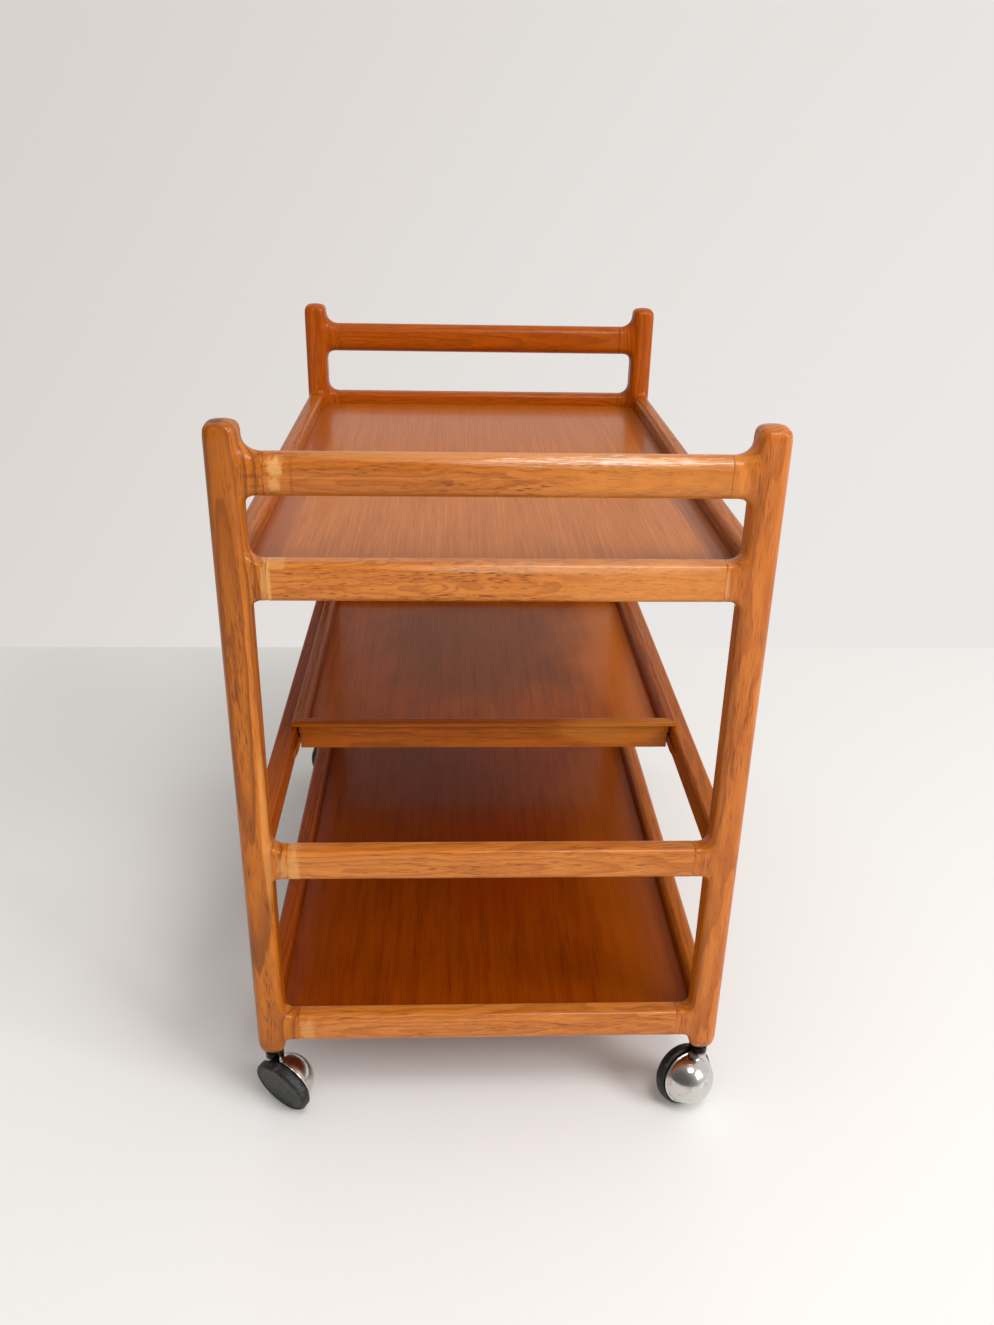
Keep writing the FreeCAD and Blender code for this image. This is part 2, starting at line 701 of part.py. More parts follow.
# Ball castors. Swivel frame: Z up the stem, the wheel trails towards +X and its outer face looks
# towards -Y. Wheel frame: Z along the axle, from the middle of the tyre towards the hood.
def castor(corner, corner_x, corner_y):
    name = f"castor_{corner}"
    at_x, at_y = signed(corner_x, "post_x"), signed(corner_y, "post_y")
    swivel = spot(at_x, at_y, turn=f"trail_{corner}")
    tilt = spot("wheel_trail", "-wheel_offset", "wheel_z", "wheel_tilt - 90", "x")

    socket = turned(name + "_socket", [
        ("stem_radius + running_clearance", "foot_height - socket_flange_height", None),
        ("socket_flange_radius", "foot_height - socket_flange_height", "socket_flange_edge"),
        ("socket_flange_radius", "foot_height", None),
        ("socket_radius", "foot_height", None),
        ("socket_radius", "foot_height + socket_depth", None),
        ("stem_radius + running_clearance", "foot_height + socket_depth", None)])
    keep(name + "_socket", bind(socket, Placement=spot(at_x, at_y)))

    stem = turned(name + "_stem", [
        ("0", "boss_top - stem_seat_depth", None),
        ("stem_radius", "boss_top - stem_seat_depth", None),
        ("stem_radius", "boss_top - stem_seat_depth + stem_length", "stem_tip_radius"),
        ("0", "boss_top - stem_seat_depth + stem_length", None)])
    keep(name + "_stem", bind(stem, Placement=swivel))

    shift = f"{tilt} * {spot(at_z='hood_level')}"
    ball = add("Sphere", name + "_ball", Radius="hood_radius", Angle1="0", Placement=shift)
    bead = add("Torus", name + "_bead", Radius1="hood_radius", Radius2="hood_bead_radius",
               Placement=f"{tilt} * {spot(at_z='hood_level + hood_bead_radius')}")
    boss = turned(name + "_boss", [
        ("0", "boss_top - stem_boss_height", None),
        ("stem_boss_radius", "boss_top - stem_boss_height", None),
        ("stem_boss_radius", "boss_top", "stem_boss_edge_radius"),
        ("0", "boss_top", None)])
    hollow = add("Sphere", name + "_hollow", Radius="hood_radius - hood_wall", Placement=shift)
    sweep = add("Cylinder", name + "_wheel_space", Radius="wheel_radius + wheel_tip_gap",
                Height="hood_level * 2", Placement=f"{tilt} * {spot(at_z='-hood_level')}")
    shell = cut(name + "_shell", fuse(name + "_skin", [ball, bead, boss]),
                fuse(name + "_space", [hollow, sweep]))
    axle_boss = add("Cylinder", name + "_axle_boss", Radius="axle_boss_radius",
                    Height="hood_level + hood_radius - hood_wall / 2 - axle_boss_level",
                    Placement=f"{tilt} * {spot(at_z='axle_boss_level')}")
    stem_seat = add("Cylinder", name + "_stem_seat", Radius="stem_radius + press_gap",
                    Height="stem_seat_depth + overrun",
                    Placement=spot(at_z="boss_top - stem_seat_depth"))
    axle_seat = add("Cylinder", name + "_axle_seat", Radius="axle_radius + press_gap",
                    Height="axle_seat_depth + overrun",
                    Placement=f"{tilt} * {spot(at_z='axle_boss_level - overrun')}")
    whole = fuse(name + "_whole", [shell, axle_boss])
    hood = cut(name + "_hood", whole, fuse(name + "_seats", [stem_seat, axle_seat]))
    keep(name + "_hood", bind(hood, Placement=swivel))

    wheel_place = f"{swivel} * {tilt}"
    axle_foot = "hub_length - bore_depth + axle_end_gap"
    axle_top = "axle_boss_level + axle_seat_depth - axle_end_gap"
    axle = turned(name + "_axle", [("0", axle_foot, None), ("axle_radius", axle_foot, None),
                                   ("axle_radius", axle_top, None), ("0", axle_top, None)])
    keep(name + "_axle", bind(axle, Placement=wheel_place))

    ring, web = "disc_radius - disc_rim_width", "-disc_half + disc_web_thickness"
    bore = "axle_radius + running_clearance"
    wheel = turned(name + "_wheel", [
        ("0", "-disc_half", None), ("disc_radius", "-disc_half", "disc_edge_radius"),
        ("disc_radius", "disc_half", None), (ring, "disc_half", None), (ring, web, None),
        ("hub_radius", web, None), ("hub_radius", "hub_length", None),
        (bore, "hub_length", None), (bore, "hub_length - bore_depth", None),
        ("0", "hub_length - bore_depth", None)])
    keep(name + "_wheel", bind(wheel, Placement=wheel_place))

    inner, side = "disc_radius + press_gap", "tyre_width / 2"
    tyre = turned(name + "_tyre", [(inner, "-" + side, None),
                                   ("wheel_radius", "-" + side, "tread_radius"),
                                   ("wheel_radius", side, "tread_radius"), (inner, side, None)])
    keep(name + "_tyre", bind(tyre, Placement=wheel_place))


for corner, (corner_x, corner_y) in CORNERS.items():
    castor(corner, corner_x, corner_y)

doc.recompute()
faults = [thing.Name for thing in doc.Objects if {"Invalid", "Error"} & set(thing.State)]
for label, thing in PARTS:
    if thing.Shape.isNull() or not thing.Shape.isValid() or not thing.Shape.Solids:
        faults.append(label)
if faults:
    raise RuntimeError("these objects failed: " + ", ".join(faults))
os.makedirs("parts", exist_ok=True)
for label, thing in PARTS:
    thing.Shape.exportStep(f"parts/{label}.step")
    print(f"{label}: {len(thing.Shape.Solids)} solids, {thing.Shape.Volume / 1000:.2f} cm3")
print(len(PARTS), "pieces")
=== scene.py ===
# %% [markdown]
# # A serving trolley on ball castors
# The real trolley is solid hardwood under an orange lacquer: four posts with sculpted joints, two
# shelves of veneered board, a loose tray that slides between them, and four chromed ball castors.
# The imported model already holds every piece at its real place, in metres. This lesson gives each
# piece its surface, and remakes only the pieces whose shape has to flow, which are the posts.

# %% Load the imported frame
import math
import bmesh
import bpy
import numpy as np
from mathutils import Matrix, Vector


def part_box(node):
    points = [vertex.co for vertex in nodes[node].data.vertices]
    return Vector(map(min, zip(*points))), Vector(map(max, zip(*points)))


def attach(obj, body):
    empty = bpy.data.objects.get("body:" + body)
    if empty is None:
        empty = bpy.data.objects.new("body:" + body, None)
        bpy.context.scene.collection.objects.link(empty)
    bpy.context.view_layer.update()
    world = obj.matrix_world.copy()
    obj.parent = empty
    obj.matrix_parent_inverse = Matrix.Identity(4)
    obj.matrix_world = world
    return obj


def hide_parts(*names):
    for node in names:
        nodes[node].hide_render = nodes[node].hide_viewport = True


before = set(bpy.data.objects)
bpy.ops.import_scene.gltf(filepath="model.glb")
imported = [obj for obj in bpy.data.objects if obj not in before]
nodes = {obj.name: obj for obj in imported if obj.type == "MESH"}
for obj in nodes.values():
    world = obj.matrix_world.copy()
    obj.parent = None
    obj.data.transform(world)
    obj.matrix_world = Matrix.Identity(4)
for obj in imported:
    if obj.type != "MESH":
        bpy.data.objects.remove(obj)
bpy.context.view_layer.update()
MM = 0.001
print("pieces in the frame:", len(nodes))

# %% [markdown]
# ## The camera
# The photograph looks down on the near end of the trolley from a standing height. A camera could
# be turned by hand until the picture looks right, but then no edge lies quite where it should.
# Here the lens and its place were worked out from the edges of the frame, so that every piece
# lands where the photograph has it. A new camera looks straight down, so it is first raised to
# the level. The long side of the picture sets the sensor.

# %% Camera
PHOTO_HEIGHT_PIXELS = 1325
FOCAL_LENGTH_PIXELS = 1117.07
SENSOR_MM = 36
CAMERA_PLACE = (-0.0373, -1.1637, 0.882)
LOOK_DOWN = math.radians(25.09)
LOOK_RIGHT = math.radians(2.62)
LEAN = math.radians(1.17)
LEVEL = math.pi / 2

camera = bpy.data.objects.new("camera", bpy.data.cameras.new("camera"))
camera.data.sensor_width = SENSOR_MM
camera.data.lens = FOCAL_LENGTH_PIXELS / PHOTO_HEIGHT_PIXELS * SENSOR_MM
camera.matrix_world = (Matrix.Translation(CAMERA_PLACE)
                       @ Matrix.Rotation(-LOOK_RIGHT, 4, "Z")
                       @ Matrix.Rotation(LEVEL - LOOK_DOWN, 4, "X")
                       @ Matrix.Rotation(LEAN, 4, "Z"))
bpy.context.scene.collection.objects.link(camera)
bpy.context.scene.camera = camera
print("lens", round(camera.data.lens, 2), "mm")

# %% [markdown]
# ## Colours and nodes
# Colours are given as sRGB hex values, the way a paint chart gives them. Shaders work with
# linear light, so one function turns a hex value to linear. A second small function adds a node
# with its settings and its links. Every material below is built from these two, so that a
# material reads as a list of what feeds what.

# %% Colour and node helpers
def linear(hex_colour):
    """An sRGB hex colour as linear RGBA: each channel below 0.04045 is divided by 12.92, and the
    others are raised to the power 2.4 after an offset of 0.055."""
    channels = [int(hex_colour[i:i + 2], 16) / 255 for i in (1, 3, 5)]
    return tuple(c / 12.92 if c <= 0.04045 else ((c + 0.055) / 1.055) ** 2.4
                 for c in channels) + (1.0,)


def add_node(tree, kind, inputs=(), **settings):
    """Adds one node. Settings are its properties. Inputs are values, sockets or nodes, by name or
    by place, and a node there stands for its first output."""
    made = tree.nodes.new("ShaderNode" + kind)
    for name, value in settings.items():
        setattr(made, name, value)
    pairs = inputs.items() if isinstance(inputs, dict) else enumerate(inputs)
    for place, value in pairs:
        if isinstance(value, bpy.types.Node):
            value = value.outputs[0]
        if isinstance(value, bpy.types.NodeSocket):
            tree.links.new(value, made.inputs[place])
        else:
            made.inputs[place].default_value = value
    return made


print("orange lacquer, linear:", [round(channel, 3) for channel in linear("#d2823a")])


# %% Materials and who wears them
def empty_material(name):
    """A material with an empty node tree, as (material, tree)."""
    material = bpy.data.materials.new(name)
    material.use_nodes = True
    material.node_tree.nodes.clear()
    return material, material.node_tree


def finish_node(name, material):
    """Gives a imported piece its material."""
    for slot in nodes[name].material_slots:
        slot.material = material


def middle_of(name):
    """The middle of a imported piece's box, in metres."""
    low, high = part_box(name)
    return (low + high) / 2


print("material slots to fill:", sum(len(piece.material_slots) for piece in nodes.values()))

# %% [markdown]
# ## Patterns of wood
# Three things make a surface read as wood: growth rings cut at a slant, which draw arches and
# stripes; fibres and pores, which are fine dashes along the grain; and patches where the lacquer
# has darkened or a joint was filled. An image could give all three, but it would not meet itself
# at the edges of a post. A pattern that is worked out from the place in space runs through the
# whole piece, as in a log. The noise behind each pattern is stretched along the grain.

# %% Streaks and rings
SWAY_WIDTH_MM = 22
DROP = 9


def streaks(tree, place, length, width, detail=3.0, raggedness=0.5):
    """Random streaks, mostly from 0.3 to 0.7: noise on a place in mm that is divided by a length
    along the grain and by a width across it."""
    drawn = add_node(tree, "VectorMath", (place, (length, width, width)), operation="DIVIDE")
    return add_node(tree, "TexNoise", {"Vector": drawn, "Scale": 1.0, "Detail": detail,
                                       "Roughness": raggedness})


def rings(tree, place, sway_mm, sway_length, year_mm):
    """Late wood of each year, from 0 to 0.9: the distance from the heart of the tree, plus a slow
    sway, is divided by the width of a year. What is left of it climbs over nine tenths of the
    year and drops over the last tenth."""
    across = add_node(tree, "VectorMath", (place, (0, 1, 1)), operation="MULTIPLY")
    radius = add_node(tree, "VectorMath", (across,), operation="LENGTH").outputs["Value"]
    sway = streaks(tree, place, sway_length, SWAY_WIDTH_MM)
    swayed = add_node(tree, "Math", (sway, sway_mm, radius), operation="MULTIPLY_ADD")
    years = add_node(tree, "Math", (swayed, year_mm), operation="DIVIDE")
    climb = add_node(tree, "Math", (years,), operation="FRACT")
    drop = add_node(tree, "Math", (climb, -DROP, DROP), operation="MULTIPLY_ADD")
    return add_node(tree, "Math", (climb, drop), operation="MINIMUM")


print("the sway of the rings is", SWAY_WIDTH_MM, "mm wide, and late wood drops", DROP, "times as fast")

# %% Layers and patches of tone
# A Mix node repeats the names of its sockets, so those for colours are found by place.
FACTOR, COLOUR_UNDER, COLOUR_OVER, MIXED_COLOUR = 0, 6, 7, 2
# A patch fades in between these shares of its half size, and its edge is wavy or in flakes.
PATCH_EDGE = (1.2, 0.55)
WAVY, FLAKED = (1.6, 1.2), (5.0, 4.5)


def layer(tree, under, tone, pattern, span, share=1.0):
    """Lays a tone over a colour by a pattern: none of it at the first end of a span, a share of
    it at the other end, and a smooth S between them."""
    amount = add_node(tree, "MapRange", {"Value": pattern, "From Min": span[0],
                                         "From Max": span[1], "To Max": share},
                      interpolation_type="SMOOTHSTEP")
    mixed = add_node(tree, "Mix", {FACTOR: amount, COLOUR_UNDER: under,
                                   COLOUR_OVER: linear(tone)}, data_type="RGBA")
    return mixed.outputs[MIXED_COLOUR]


def patch(tree, under, place, centre, half, tone, share, edge=WAVY):
    """Lays a tone over an egg-shaped patch: the offset from its centre is divided by its half sizes
    and shaken by noise, and the length of the result is 1 at the edge. edge is how fine the noise
    is and how far it shakes: a little gives a wavy edge, and a lot breaks the patch into flakes."""
    fineness, shake = edge
    offset = add_node(tree, "VectorMath", (place, centre), operation="SUBTRACT")
    scaled = add_node(tree, "VectorMath", (offset, half), operation="DIVIDE")
    noise = add_node(tree, "TexNoise", {"Vector": scaled, "Scale": fineness, "Detail": 3.0})
    shaken = add_node(tree, "VectorMath", (noise.outputs["Color"], (shake,) * 3, scaled),
                      operation="MULTIPLY_ADD")
    back = add_node(tree, "VectorMath", (shaken, (shake / 2,) * 3), operation="SUBTRACT")
    distance = add_node(tree, "VectorMath", (back,), operation="LENGTH").outputs["Value"]
    return layer(tree, under, tone, distance, PATCH_EDGE, share)


print("a patch's edge wanders by", WAVY[1] / 2, "of its half size at most")

# %% [markdown]
# ## Lacquered wood
# The frame is open-pored hardwood, planed and then lacquered in warm orange. The lacquer sinks
# into the open grain, so that the wood shines softly and its pores stay dull. A coat over a weak
# shine gives both: the sheen of the film and the matt wood under it. Real pores are 0.2 mm wide
# and would not show in the picture, so they are drawn 1 mm wide.

# %% Figure of the wood
FIBRE_MM, FIBRE_LENGTH_MM, FIBRE_RAGGEDNESS = 1.2, 75, 0.65
PORE_MM, PORE_LENGTH_MM = 0.95, 22
BAND_MM, BAND_LENGTH_MM, BAND_SHARE = 8, 130, 0.5
CLOUD_MM, CLOUD_LENGTH_MM = 18, 60
SWAY_LENGTH_MM = 110


def figure(tree, along, year_mm, sway_mm, drawn_out):
    """The four patterns of the wood, as (late wood, fibres, stain, pores). Pores crowd together
    in bands along the grain, and stain is those bands plus clouds that are wider."""
    late = rings(tree, along, sway_mm, SWAY_LENGTH_MM * drawn_out, year_mm)
    fibre = streaks(tree, along, FIBRE_LENGTH_MM * drawn_out, FIBRE_MM,
                    raggedness=FIBRE_RAGGEDNESS)
    dashes = streaks(tree, along, PORE_LENGTH_MM * drawn_out, PORE_MM, detail=2.0)
    bands = streaks(tree, along, BAND_LENGTH_MM, BAND_MM, detail=2.0)
    pores = add_node(tree, "Math", (bands, BAND_SHARE, dashes), operation="MULTIPLY_ADD")
    clouds = streaks(tree, along, CLOUD_LENGTH_MM, CLOUD_MM)
    stain = add_node(tree, "Math", (bands, clouds), operation="ADD")
    return late, fibre, stain, pores


print("pores are drawn", PORE_MM, "mm wide, fibres", FIBRE_MM, "mm")

# %% Lacquer
FIBRE_RANGE, ROUGHNESS_SPREAD = (0.3, 0.7), (-0.04, 0.06)
PORE_DEPTH, GRAIN_RELIEF_MM, BUMP = 0.7, 0.15, 0.3
SHINE, COAT, COAT_ROUGHNESS = 0.22, 0.3, 0.13


def lacquer(tree, colour, fibre, pores, roughness, gloss):
    """The surface of lacquered wood: fibres raise it and make it rougher, and pores sink into
    it. Gloss scales both its shine and its coat."""
    rough = add_node(tree, "MapRange", {
        "Value": fibre, "From Min": FIBRE_RANGE[0], "From Max": FIBRE_RANGE[1],
        "To Min": roughness + ROUGHNESS_SPREAD[0], "To Max": roughness + ROUGHNESS_SPREAD[1]})
    height = add_node(tree, "Math", (pores, -PORE_DEPTH, fibre), operation="MULTIPLY_ADD")
    bump = add_node(tree, "Bump", {"Strength": BUMP, "Distance": GRAIN_RELIEF_MM * MM,
                                   "Height": height})
    return add_node(tree, "BsdfPrincipled", {
        "Base Color": colour, "Roughness": rough, "Normal": bump,
        "Specular IOR Level": SHINE * gloss, "Coat Weight": COAT * gloss,
        "Coat Roughness": COAT_ROUGHNESS})


print("grain stands", GRAIN_RELIEF_MM, "mm high")

# %% Lacquered wood, from its figure to its surface
GRAIN_TURNS = {"X": (0, 0, 0), "Y": (0, 0, -math.pi / 2), "Z": (0, math.pi / 2, 0)}
LATE_SPAN, FIBRE_SPAN = (0.35, 0.85), (0.4, 0.66)
STAIN_SPAN, PORE_SPAN = (0.8, 1.24), (0.8, 0.98)


def wood(name, grain, heart, tones, year_mm=5.2, ring_share=0.7, fibre_share=0.45,
         pore_share=0.7, stain_share=0.5, roughness=0.36, tilt=(0, 0, 0), sway_mm=16.0,
         drawn_out=1.0, gloss=1.0, patches=()):
    """Lacquered wood whose grain runs along one axis. heart is added to the turned place, in mm,
    so that the tree's heart lies at zero; tones are its light, ring, pore and stain colours, and
    each share is how strongly one of them shows; sway_mm is how far the rings wander, and
    drawn_out stretches the streaks. patches are (centre, half size, colour, share) and maybe an
    edge, in mm."""
    material, tree = empty_material(name)
    light, ring_tone, pore_tone, stain_tone = tones
    place = add_node(tree, "TexCoord").outputs["Object"]
    turn = tuple(a + b for a, b in zip(GRAIN_TURNS[grain], tilt))
    along = add_node(tree, "Mapping", {"Vector": place, "Rotation": turn, "Location": heart,
                                       "Scale": (1 / MM,) * 3})
    late, fibre, stain, pores = figure(tree, along, year_mm, sway_mm, drawn_out)
    colour = layer(tree, linear(light), ring_tone, late, LATE_SPAN, ring_share)
    colour = layer(tree, colour, ring_tone, fibre, FIBRE_SPAN, fibre_share)
    colour = layer(tree, colour, stain_tone, stain, STAIN_SPAN, stain_share)
    colour = layer(tree, colour, pore_tone, pores, PORE_SPAN, pore_share)
    millimetres = add_node(tree, "VectorMath", (place, (1 / MM,) * 3), operation="MULTIPLY")
    for mark in patches:
        colour = patch(tree, colour, millimetres, *mark)
    surface = lacquer(tree, colour, fibre, pores, roughness, gloss)
    add_node(tree, "OutputMaterial", (surface,))
    return material


print("grain can run along", sorted(GRAIN_TURNS))


# %% A place in the log
def heart_beside(name, grain, start, aside, up):
    """Where the heart of the tree goes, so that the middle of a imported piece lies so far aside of
    it and above it, in mm, before any tilt. The piece starts at a place along the log."""
    middle = middle_of(name) / MM
    turned_aside, turned_up = {"X": (middle.y, middle.z), "Y": (-middle.x, middle.z),
                               "Z": (middle.y, -middle.x)}[grain]
    return (start, aside - turned_aside, up - turned_up)


print("a post 14 mm from its heart:", heart_beside("castor_near_left_socket", "Z", 0, 14, 0))

# %% [markdown]
# ## The tones of the lacquer
# The lacquer was sprayed on by hand, and its tone differs from group to group. Part of that is
# painted light and shade: the near end, which faces the window, has the lightest tones, and the
# left side, the far end and the inner boards, the tray and the bottom shelf, which stand in the
# trolley's own shade, have darker and deeper ones. One colour for the whole trolley would make it
# look moulded, so each group of pieces has a set of four tones: light early wood, late wood,
# pores, and stain.

# %% Tones
# The darker sets, for the left post, the far end, the dark side, the tray and the bottom panel, are
# painted shade on top of the lacquer's own tone.
TONES = {
    "handle": ("#c67228", "#9a4e10", "#5e2804", "#b05e18"),
    "near end": ("#cb7a2e", "#a25616", "#6a3006", "#b9661d"),
    "right post": ("#c97326", "#a05010", "#733406", "#b86018"),
    "left post": ("#bd6a16", "#85440a", "#5c2a02", "#a45410"),
    "far end": ("#b05200", "#8c3c00", "#682600", "#a04800"),
    "side": ("#b55f10", "#8e4806", "#683202", "#a0520a"),
    "dark side": ("#9c4406", "#783000", "#522000", "#8a3a00"),
    "tray end": ("#b65e10", "#8e4606", "#683002", "#a05208"),
    "tray side": ("#a04e08", "#7a3800", "#582400", "#8c4202"),
    "tray panel": ("#aa5204", "#863c00", "#5a2800", "#924400"),
    "top panel": ("#c26c1a", "#9c520e", "#7e3e08", "#ae5e12"),
    "bottom panel": ("#8e3c00", "#6a2800", "#481800", "#7a2e00"),
}
print("sets of tones:", len(TONES))

# %% [markdown]
# ## Marks, filler, and painted light and shade
# The joints were closed with a pale filler before the lacquer, and dark lines and spots mark the
# near left post. Some marks are painted light and shade: pale bands along the top front edges of
# the near handle and top rail are painted highlights, which break into flakes of worn lacquer on
# the handle; dark bands are painted shade; and paler areas are painted light where the window
# reaches. Others only make an area darker or lighter. Each mark could be painted by hand on an
# unwrapped mesh. A soft egg of tone is less work and moves with its piece: its centre is counted
# from the middle of the piece that wears it, and it is given its half size, its tone, its
# strength, and maybe its kind of edge.

# %% Marks of the posts and rails
FILLER, PALE = "#e0a862", "#dc9448"
JOINT_LINE, DARK_SPOT = "#6a3208", "#241004"
MARKS = {
    "post_near_left": [((14, -10.5, 268.5), (11, 20, 2.4), JOINT_LINE, 0.5),
                       ((17, -10.5, 260.5), (8, 20, 1.6), JOINT_LINE, 0.4),
                       ((-12, -11.5, 308.5), (6, 4.6, 5), DARK_SPOT, 0.95),
                       ((2, -22.5, -50.5), (4, 14, 90), PALE, 0.5),
                       # painted shade down the post's left face, away from the window
                       ((-13, -7.5, 229.5), (16, 30, 150), "#8a4608", 0.45),
                       ((17, -10.5, 181.5), (4, 20, 26), FILLER, 0.45),
                       ((15, -10.5, -88.5), (7, 20, 16), FILLER, 0.4)],
    "post_near_right": [((-17, -10.5, 181.5), (3, 20, 22), FILLER, 0.35),
                        ((-17, -14.5, 269.5), (13, 18, 50), "#e08c34", 0.4)],
    "handle_rail_near": [((-110, -2, 0), (110, 30, 30), "#a2560e", 0.4),
                         ((-170, -2, 8), (7.5, 30, 8), FILLER, 0.7),
                         ((-171, -2, -5), (6, 30, 7), FILLER, 0.5),
                         ((-158, -2, 0), (1.6, 30, 20), "#8a4812", 0.5),
                         ((-60, -2, 0), (180, 30, 0.9), PALE, 0.2),
                         # Painted highlights along the top front edge: two pale bands, and pale flakes
                         # where the highlight breaks up on worn lacquer. The dark flakes are worn
                         # lacquer.
                         ((0, -2, 16), (190, 12, 4), "#e0a060", 0.35),
                         ((80, -12, 13), (130, 9, 5), "#e8b58c", 0.35),
                         ((90, -12, 11), (85, 9, 3), "#7a3c10", 0.6, FLAKED),
                         ((102, -12, 14), (75, 9, 3.2), "#f8e2d0", 0.65, FLAKED),
                         ((120, -2, -3), (110, 30, 26), "#d98a38", 0.4)],
    "top_end_rail_near": [((-181, 0, -0.5), (2.8, 30, 26), FILLER, 0.55),
                          ((-174, 0, 15.5), (9, 30, 5), FILLER, 0.35),
                          # painted highlight along the rail's top front edge
                          ((60, -10, 13.5), (150, 7, 5), "#e8b58c", 0.3),
                          ((130, 0, -2.5), (100, 30, 26), "#de9044", 0.4)],
    "middle_end_rail_near": [((-177, 0, -0.5), (7, 30, 24), FILLER, 0.45)],
    "bottom_end_rail_near": [((-174, 0, 0), (9, 30, 14), FILLER, 0.35)],
    # painted light: lighter towards the near end, where the window reaches this shaded rail
    "middle_side_rail_left": [((0.25, -230, -2.5), (40, 130, 60), "#c0641c", 0.25)],
    # painted shade along the top of the lip, and painted light on the right part of the face, which
    # the window reaches between the shelves
    "tray_end_rail_near": [((0, -5, 20.5), (600, 20, 7), "#7c3404", 0.6),
                           ((150, -5, 11.5), (80, 20, 30), "#d08430", 0.45)],
}
print("marks on posts and rails:", sum(len(marks) for marks in MARKS.values()))

# %% Marks of the panels
# The first mark darkens the middle; the second is painted light, where the window reaches the right
# part of the tray between the shelves.
MARKS["tray_panel"] = [((10, 32, 3), (150, 170, 40), "#4e2c04", 0.45),
                       ((250, -38, 3), (150, 280, 40), "#cc701c", 0.7)]
# Dark bands along the left and right sides are painted shade next to the side rails; the third mark
# darkens the far part.
MARKS["top_shelf_panel"] = [((-196, 0, 0), (25, 500, 40), "#8a3a00", 0.7),
                            ((196, 0, 0), (20, 500, 40), "#7a3400", 0.7),
                            ((0, 260, 0), (400, 200, 60), "#a45008", 0.5)]
MARKS["bottom_shelf_panel"] = [((20, -60, 4), (80, 120, 40), "#8e2c00", 0.45),
                               ((190, -60, 4), (90, 360, 40), "#a85408", 0.4)]


def marks_on(name):
    """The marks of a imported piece, with each offset from its middle turned into a place, in mm."""
    middle = middle_of(name) / MM
    return [(middle + Vector(offset), *rest) for offset, *rest in MARKS.get(name, ())]


print("first mark of the tray panel at", [round(value) for value in marks_on("tray_panel")[0][0]])

# %% [markdown]
# ## Posts
# A joiner shapes each post and its joints with rasps until they flow into each other. The packed
# posts have the right sections and fillets, but their stubs meet the core in sharp inner corners.
# A grid surface can't branch five times without seams, so the post is made another way: a copy is
# remeshed into even squares, and its hollow corners are filled like poured wax. A corner moves
# only outwards, by what its neighbours pull, so that rounded edges and flat joint faces keep
# their size. Last, the head and the foot are rounded off, as the rasp leaves them.

# %% A mesh as arrays
def corner_values(mesh, what):
    """One vector per corner of a mesh, such as its place (co) or its unit normal (normal)."""
    values = np.empty(len(mesh.vertices) * 3)
    mesh.vertices.foreach_get(what, values)
    return values.reshape(-1, 3)


def corner_pairs(mesh):
    """The two corners of every edge of a mesh, by number."""
    edges = np.empty(len(mesh.edges) * 2, dtype=np.int64)
    mesh.edges.foreach_get("vertices", edges)
    return edges.reshape(-1, 2)


def pull(places, edges):
    """How far the mean of each corner's neighbours lies from the corner."""
    total = np.zeros_like(places)
    for near, far in ((0, 1), (1, 0)):
        for axis in range(3):
            total[:, axis] += np.bincount(edges[:, near], places[edges[:, far], axis],
                                          len(places))
    count = np.bincount(edges.ravel(), minlength=len(places))
    return total / np.maximum(count, 1)[:, None] - places


print("corners of a packed post:", len(nodes["post_near_left"].data.vertices))

# %% Even squares
VOXEL = 1.4 * MM
SAME_PLACE = 0.01 * MM


def remeshed_copy(name, source):
    """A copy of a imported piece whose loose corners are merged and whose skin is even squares."""
    loose = bmesh.new()
    loose.from_mesh(source.data)
    bmesh.ops.remove_doubles(loose, verts=loose.verts, dist=SAME_PLACE)
    merged = bpy.data.meshes.new(name + "_merged")
    loose.to_mesh(merged)
    loose.free()
    piece = bpy.data.objects.new(name, merged)
    bpy.context.scene.collection.objects.link(piece)
    skin = piece.modifiers.new("even_squares", "REMESH")
    skin.mode, skin.voxel_size, skin.adaptivity = "VOXEL", VOXEL, 0
    graph = bpy.context.evaluated_depsgraph_get()
    even = bpy.data.meshes.new_from_object(piece.evaluated_get(graph))
    piece.modifiers.clear()
    piece.data = even
    return piece


print("a post is remeshed at", VOXEL / MM, "mm")

# %% Fill the hollow corners
FILL_STEPS, FILL_RATE = 120, 0.5


def pour(mesh, places, edges):
    """Fills hollow corners: each step moves a corner along its normal by a share of what its
    neighbours pull outwards, and never inwards."""
    for _ in range(FILL_STEPS):
        normals = corner_values(mesh, "normal")
        outwards = np.maximum((pull(places, edges) * normals).sum(1), 0)
        places += FILL_RATE * outwards[:, None] * normals
        mesh.vertices.foreach_set("co", places.ravel())
        mesh.update()


print("filling steps:", FILL_STEPS)

# %% Round the ends and take ripples out
FOOT_LENGTH, FOOT_NARROWING = 17 * MM, 0.28
HEAD_LENGTH, HEAD_NARROWING = 13 * MM, 0.15
RELAX_STEPS, RELAX_IN, RELAX_OUT = 6, 0.5, 0.52


def narrow_end(places, middle, end, length, narrowing):
    """Narrows a post towards one end: by the narrowing times the square of the way there, over the
    last length of the post."""
    way = np.clip(1 - np.abs(end - places[:, 2]) / length, 0, 1)
    kept = 1 - narrowing * way ** 2
    for axis in (0, 1):
        places[:, axis] = middle[axis] + (places[:, axis] - middle[axis]) * kept


